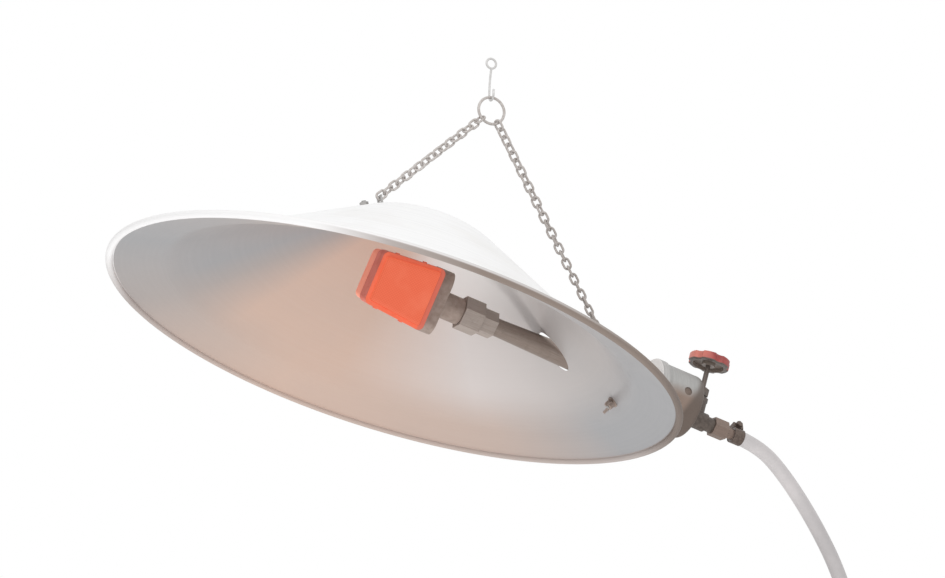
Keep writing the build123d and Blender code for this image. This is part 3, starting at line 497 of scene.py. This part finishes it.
def metal(name, dark, light, rough=(0.35, 0.5), grain=even, grain_scale=400.0, metallic=0.6, dirt=0.25,
          stained=None):
    """Worked metal: two tones along its grain, dull dirt in patches, edges rubbed bright.

    Where asked, a brown stain grows from one place along the tube to another.
    """
    grimy = (74, 62, 54)
    brown_stain = (118, 104, 96)
    rubbed = tuple(min(255, value + 24) for value in light)   # a little lighter than the light tone

    material, tree, shader = new_material(name)
    place = canopy_place(tree)
    streaks = noise(tree, canopy_place(tree, grain), grain_scale, detail=5.0)
    patches = noise(tree, place, scale=45.0, detail=6.0)
    grime = remap(tree, noise(tree, place, scale=110.0, detail=8.0, roughness=0.7), 0.52, 0.74)
    tone = mix(tree, over_range(tree, streaks), dark, light)
    tone = fade(tree, remap(tree, patches, 0.35, 0.7), 0.3, tone, dark)
    tone = fade(tree, grime, dirt, tone, grimy)
    tone = fade(tree, worn_edges(tree, 0.0007), 0.35, tone, rubbed)
    if stained:
        tone = fade(tree, remap(tree, canopy_axes(tree)[0], *stained), 0.5, tone, brown_stain)
    uneven = work_out(tree, "MULTIPLY_ADD", streaks, 0.6, work_out(tree, "MULTIPLY", patches, 0.4))
    surface(tree, shader, tone, over_range(tree, uneven, *rough), metallic)
    relief(tree, shader, streaks, distance=0.0002, strength=0.25, edge_round=0.0005)
    return material


# Filter drum: grey on top, painted shade below and where it turns in towards the valve
def drum_material():
    grey = (166, 165, 163)
    bright_grey = (178, 177, 175)
    painted_shade_below = (144, 126, 115)
    painted_shade_at_valve = (104, 93, 86)
    shoulder_slant = -0.36       # the painted shade reaches further in below the axis

    material, tree, shader = new_material("drum_steel")
    ahead, _, up = canopy_axes(tree)
    rise = work_out(tree, "SUBTRACT", up, tube_height)
    rings = noise(tree, canopy_place(tree, turned), scale=420.0, detail=5.0)
    patches = noise(tree, canopy_place(tree), scale=40.0, detail=6.0)
    # Painted shade: darker below the axis and darkest at the shoulder by the valve
    low = falling(tree, work_out(tree, "MULTIPLY_ADD", patches, 0.010, rise), 0.000, 0.017)
    slanted = work_out(tree, "MULTIPLY_ADD", rise, shoulder_slant, ahead)
    near_valve = remap(tree, slanted, drum_shoulder, drum_shoulder + 0.009)
    tone = mix(tree, over_range(tree, rings), grey, bright_grey)
    tone = mix(tree, low, tone, painted_shade_below)
    tone = fade(tree, near_valve, 0.9, tone, painted_shade_at_valve)
    surface(tree, shader, tone, over_range(tree, patches, 0.5, 0.62), 0.15)
    shader.inputs["Specular IOR Level"].default_value = 0.25
    relief(tree, shader, rings, distance=0.0001, strength=0.2)
    return material


# Filter lid: pale end face, its skirt like the drum
def lid_material():
    skirt_dark = (170, 168, 166)
    skirt_light = (186, 184, 182)
    face_dark = (218, 214, 211)
    face_light = (228, 225, 223)

    material, tree, shader = new_material("lid_steel")
    end_face = remap(tree, along(tree, object_normal(tree), -tube_dir), 0.3, 0.8)
    rings = noise(tree, canopy_place(tree, turned), scale=420.0, detail=5.0)
    patches = noise(tree, canopy_place(tree), scale=40.0, detail=6.0)
    skirt = mix(tree, over_range(tree, rings), skirt_dark, skirt_light)
    face = mix(tree, over_range(tree, patches), face_dark, face_light)
    surface(tree, shader, mix(tree, end_face, skirt, face), over_range(tree, patches, 0.38, 0.5), 0.3)
    relief(tree, shader, rings, distance=0.0001, strength=0.25, edge_round=0.0006)
    return material


def plain(name, base, other, rough=(0.4, 0.6), grain_scale=260.0, distance=0.0002):
    """Nylon, fibre, foam or ceramic: two close tones and a fine grain."""
    material, tree, shader = new_material(name)
    place = canopy_place(tree)
    fine = noise(tree, place, grain_scale, detail=5.0)
    broad = noise(tree, place, scale=30.0, detail=5.0)
    tone = mix(tree, remap(tree, broad, 0.35, 0.65), base, other)
    surface(tree, shader, tone, over_range(tree, fine, *rough))
    relief(tree, shader, fine, distance, strength=0.4)
    return material


# Hose: grey vinyl, with painted shade at the cut end in the clamp, and greyer below
def hose_material():
    vinyl = (204, 199, 199)
    vinyl_dull = (196, 192, 192)
    vinyl_grey = (130, 126, 126)
    painted_clamp_shade = (96, 84, 77)

    material, tree, shader = new_material("hose_vinyl")
    place = canopy_place(tree)
    fine = noise(tree, place, scale=700.0, detail=5.0)
    broad = noise(tree, place, scale=30.0, detail=5.0)
    ahead, _, up = canopy_axes(tree)
    # Painted shade: the cut end inside the clamp is darkened
    cut_end = falling(tree, ahead, hose_start + 0.0010, hose_start + 0.0025)
    below = falling(tree, up, -0.005, 0.03)
    tone = mix(tree, remap(tree, broad, 0.35, 0.65), vinyl, vinyl_dull)
    tone = fade(tree, below, 0.18, tone, vinyl_grey)
    tone = fade(tree, cut_end, 0.85, tone, painted_clamp_shade)
    surface(tree, shader, tone, over_range(tree, fine, 0.3, 0.38))
    relief(tree, shader, fine, distance=0.00001, strength=0.4)
    return material


# Handwheel: red moulding, paler on the canopy's side, with painted shade on its hollow underside
def wheel_material():
    red = (150, 60, 57)
    light_red = (176, 79, 72)
    pale_red = (232, 142, 124)
    rubbed_red = (214, 112, 98)
    painted_shade_under = (104, 94, 88)
    painted_shade_in_hollow = (142, 129, 120)

    material, tree, shader = new_material("red_plastic")
    place = canopy_place(tree)
    fine = noise(tree, place, scale=320.0, detail=5.0)
    patches = noise(tree, place, scale=70.0, detail=5.0)
    ahead, side, _ = canopy_axes(tree)
    from_spindle = off_axis(tree, work_out(tree, "SUBTRACT", ahead, stem_station), side)
    inside_rim = falling(tree, from_spindle, wheel_inside, wheel_inside + 0.0008)
    facing_up = along(tree, object_normal(tree), canopy_up)
    under = falling(tree, facing_up, -0.45, -0.15)
    hollow = work_out(tree, "MULTIPLY", falling(tree, facing_up, 0.3, 0.6), inside_rim)
    # Paler on the side towards the burner
    burner_side = falling(tree, ahead, stem_station - 0.020, stem_station - 0.006)
    tone = mix(tree, remap(tree, patches, 0.35, 0.65), red, light_red)
    tone = fade(tree, burner_side, 0.6, tone, pale_red)
    tone = fade(tree, worn_edges(tree, 0.0012), 0.35, tone, rubbed_red)
    # Painted shade: darker underside, and a lighter tone in the hollow so its shade stays even
    tone = mix(tree, under, tone, painted_shade_under)
    tone = mix(tree, hollow, tone, painted_shade_in_hollow)
    surface(tree, shader, tone, over_range(tree, fine, 0.35, 0.5))
    shader.inputs["Coat Weight"].default_value = 0.1
    relief(tree, shader, fine, distance=0.0002, strength=0.3)
    return material


def paint(material, *names):
    """Put a material on named solids."""
    for name in names:
        mesh = nodes[name].data
        mesh.materials.clear()
        mesh.materials.append(material)
        for polygon in mesh.polygons:
            polygon.material_index = 0


# Materials on the burner
paint(gauze_material(), "burner_gauze")
paint(frame_material(), "burner_frame", "frame_screws")
paint(casing_material(), "burner_casing")
paint(
    metal("burner_iron", (152, 134, 124), (174, 157, 147), rough=(0.5, 0.7), grain_scale=160.0, metallic=0.3),
    "burner_base",
)
paint(
    plain("plaque_ceramic", (222, 176, 148), (204, 150, 122), (0.7, 0.9), grain_scale=500.0, distance=0.0004),
    "burner_plaque",
)
paint(
    plain("gasket_fibre", (200, 196, 188), (178, 172, 164), (0.8, 0.95), grain_scale=900.0, distance=0.0004),
    "burner_gasket",
)

# Materials on the tube and the filter
paint(
    metal("fitting_steel", (158, 145, 137), (174, 162, 154), (0.5, 0.65), drawn, fine_grain,
          metallic=0.15, dirt=0.2),
    "union_nut", "adaptor",
)
paint(
    metal("tube_steel", (141, 126, 116), (158, 144, 135), (0.34, 0.48), drawn, fine_grain),
    "mixing_tube",
)
paint(drum_material(), "filter_drum")
paint(lid_material(), "filter_lid")
paint(
    plain("filter_foam", (126, 112, 103), (112, 98, 90), (0.8, 0.95), grain_scale=900.0, distance=0.0008),
    "filter_element",
)

# Materials on the valve and the hose
paint(wheel_material(), "handwheel")
paint(
    metal("valve_metal", (84, 75, 69), (112, 101, 94), rough=(0.4, 0.55), grain_scale=220.0, metallic=0.4),
    "valve_body", "bonnet", "gland_nut",
)
paint(
    metal("stem_steel", (96, 86, 80), (124, 113, 106), grain=upright, metallic=0.5),
    "valve_stem", "handwheel_nut",
)
paint(
    metal("dull_brass", (126, 109, 100), (143, 124, 113), (0.4, 0.55), drawn, fine_grain, metallic=0.4),
    "hose_tail", "injector", "hose_end_nipple", "hose_end_nut",
)
paint(metal("clamp_steel", (92, 80, 73), (120, 106, 98)), "clamp_band", "clamp_screw")
paint(plain("packing", (44, 44, 44), (34, 34, 34), (0.6, 0.8)), "gland_packing")
paint(plain("tie_nylon", (40, 40, 42), (30, 30, 32), (0.4, 0.55), grain_scale=300.0), "coil_tie")
hose.data.materials.append(hose_material())

# Materials on the canopy, on what it hangs by and on the other zinc plate
paint(canopy_material(), "canopy")
paint(
    metal("zinc_plate", (150, 148, 146), (188, 186, 184), grain_scale=140.0),
    "rear_lug", "rear_lug_bolt", "rear_lug_nut", "front_bracket", "bracket_bolt", "burner_baffle",
)
paint(
    metal("dark_zinc", (150, 134, 125), (174, 158, 148), rough=(0.5, 0.65), grain_scale=140.0, metallic=0.2),
    "wing_nut", "bracket_washer",
)
paint(
    metal("chain_zinc", (184, 177, 172), (216, 211, 208), rough=(0.45, 0.6), grain_scale=300.0,
          metallic=0.3, dirt=0.15, stained=(-0.05, 0.28)),
    "chain_rear", "chain_front", "hanging_ring",
)
paint(
    metal("hook_wire", (204, 202, 200), (224, 223, 222), rough=(0.4, 0.5), grain_scale=300.0,
          metallic=0.3, dirt=0.1),
    "hook",
)

# Light: a pale world, seen as white, with soft lamps above, in front and under the canopy
world = bpy.data.worlds.new("studio")
scene.world = world
world.use_nodes = True
sky = world.node_tree
sky.nodes.clear()
pure_white = (1.0, 1.0, 1.0, 1.0)
lighting_strength = 0.8
seen_strength = 1.0
ray = add_node(sky, "ShaderNodeLightPath").outputs
seen = work_out(sky, "MAXIMUM", ray["Is Camera Ray"], ray["Is Glossy Ray"])
seen = work_out(sky, "MAXIMUM", seen, ray["Is Transmission Ray"])
soft = add_node(sky, "ShaderNodeBackground", pure_white, lighting_strength).outputs[0]
white = add_node(sky, "ShaderNodeBackground", pure_white, seen_strength).outputs[0]
blended = add_node(sky, "ShaderNodeMixShader", seen, soft, white).outputs[0]
add_node(sky, "ShaderNodeOutputWorld", blended)


def soft_lamp(name, place, target, size, power, mirrored=True, spread=180.0):
    """A square soft lamp aimed at a point, mirrored in shiny metal or not, its spread in degrees."""
    data = bpy.data.lights.new(name, "AREA")
    data.size = size
    data.energy = power
    data.spread = radians(spread)
    lamp = bpy.data.objects.new(name, data)
    scene.collection.objects.link(lamp)
    lamp.visible_glossy = mirrored
    lamp.location = place
    lamp.rotation_euler = (target - place).to_track_quat("-Z", "Y").to_euler()


middle = Vector((0.0, 0.0, -0.3))
above = Vector((-0.9, -2.0, 0.7))
in_front = Vector((-1.2, -3.2, -0.2))
under_canopy = rim_centre - canopy_up * 1.05
soft_lamp("lamp_above", above, middle, size=1.6, power=8.0)
soft_lamp("lamp_front", in_front, middle, size=1.6, power=4.4, mirrored=False, spread=90.0)
soft_lamp("lamp_below", under_canopy, rim_centre, size=0.35, power=2.3, mirrored=False, spread=120.0)

# Floor: pale and plain, well below the hanging brooder
floor_level = -1.45
floor_size = 60.0
bpy.ops.mesh.primitive_plane_add(size=floor_size, location=(0.0, 0.0, floor_level))
floor = bpy.context.object
floor.name = "floor"
floor_material, floor_tree, floor_shader = new_material("floor_paint")
surface(floor_tree, floor_shader, (238, 238, 238), 0.8)
floor.data.materials.append(floor_material)
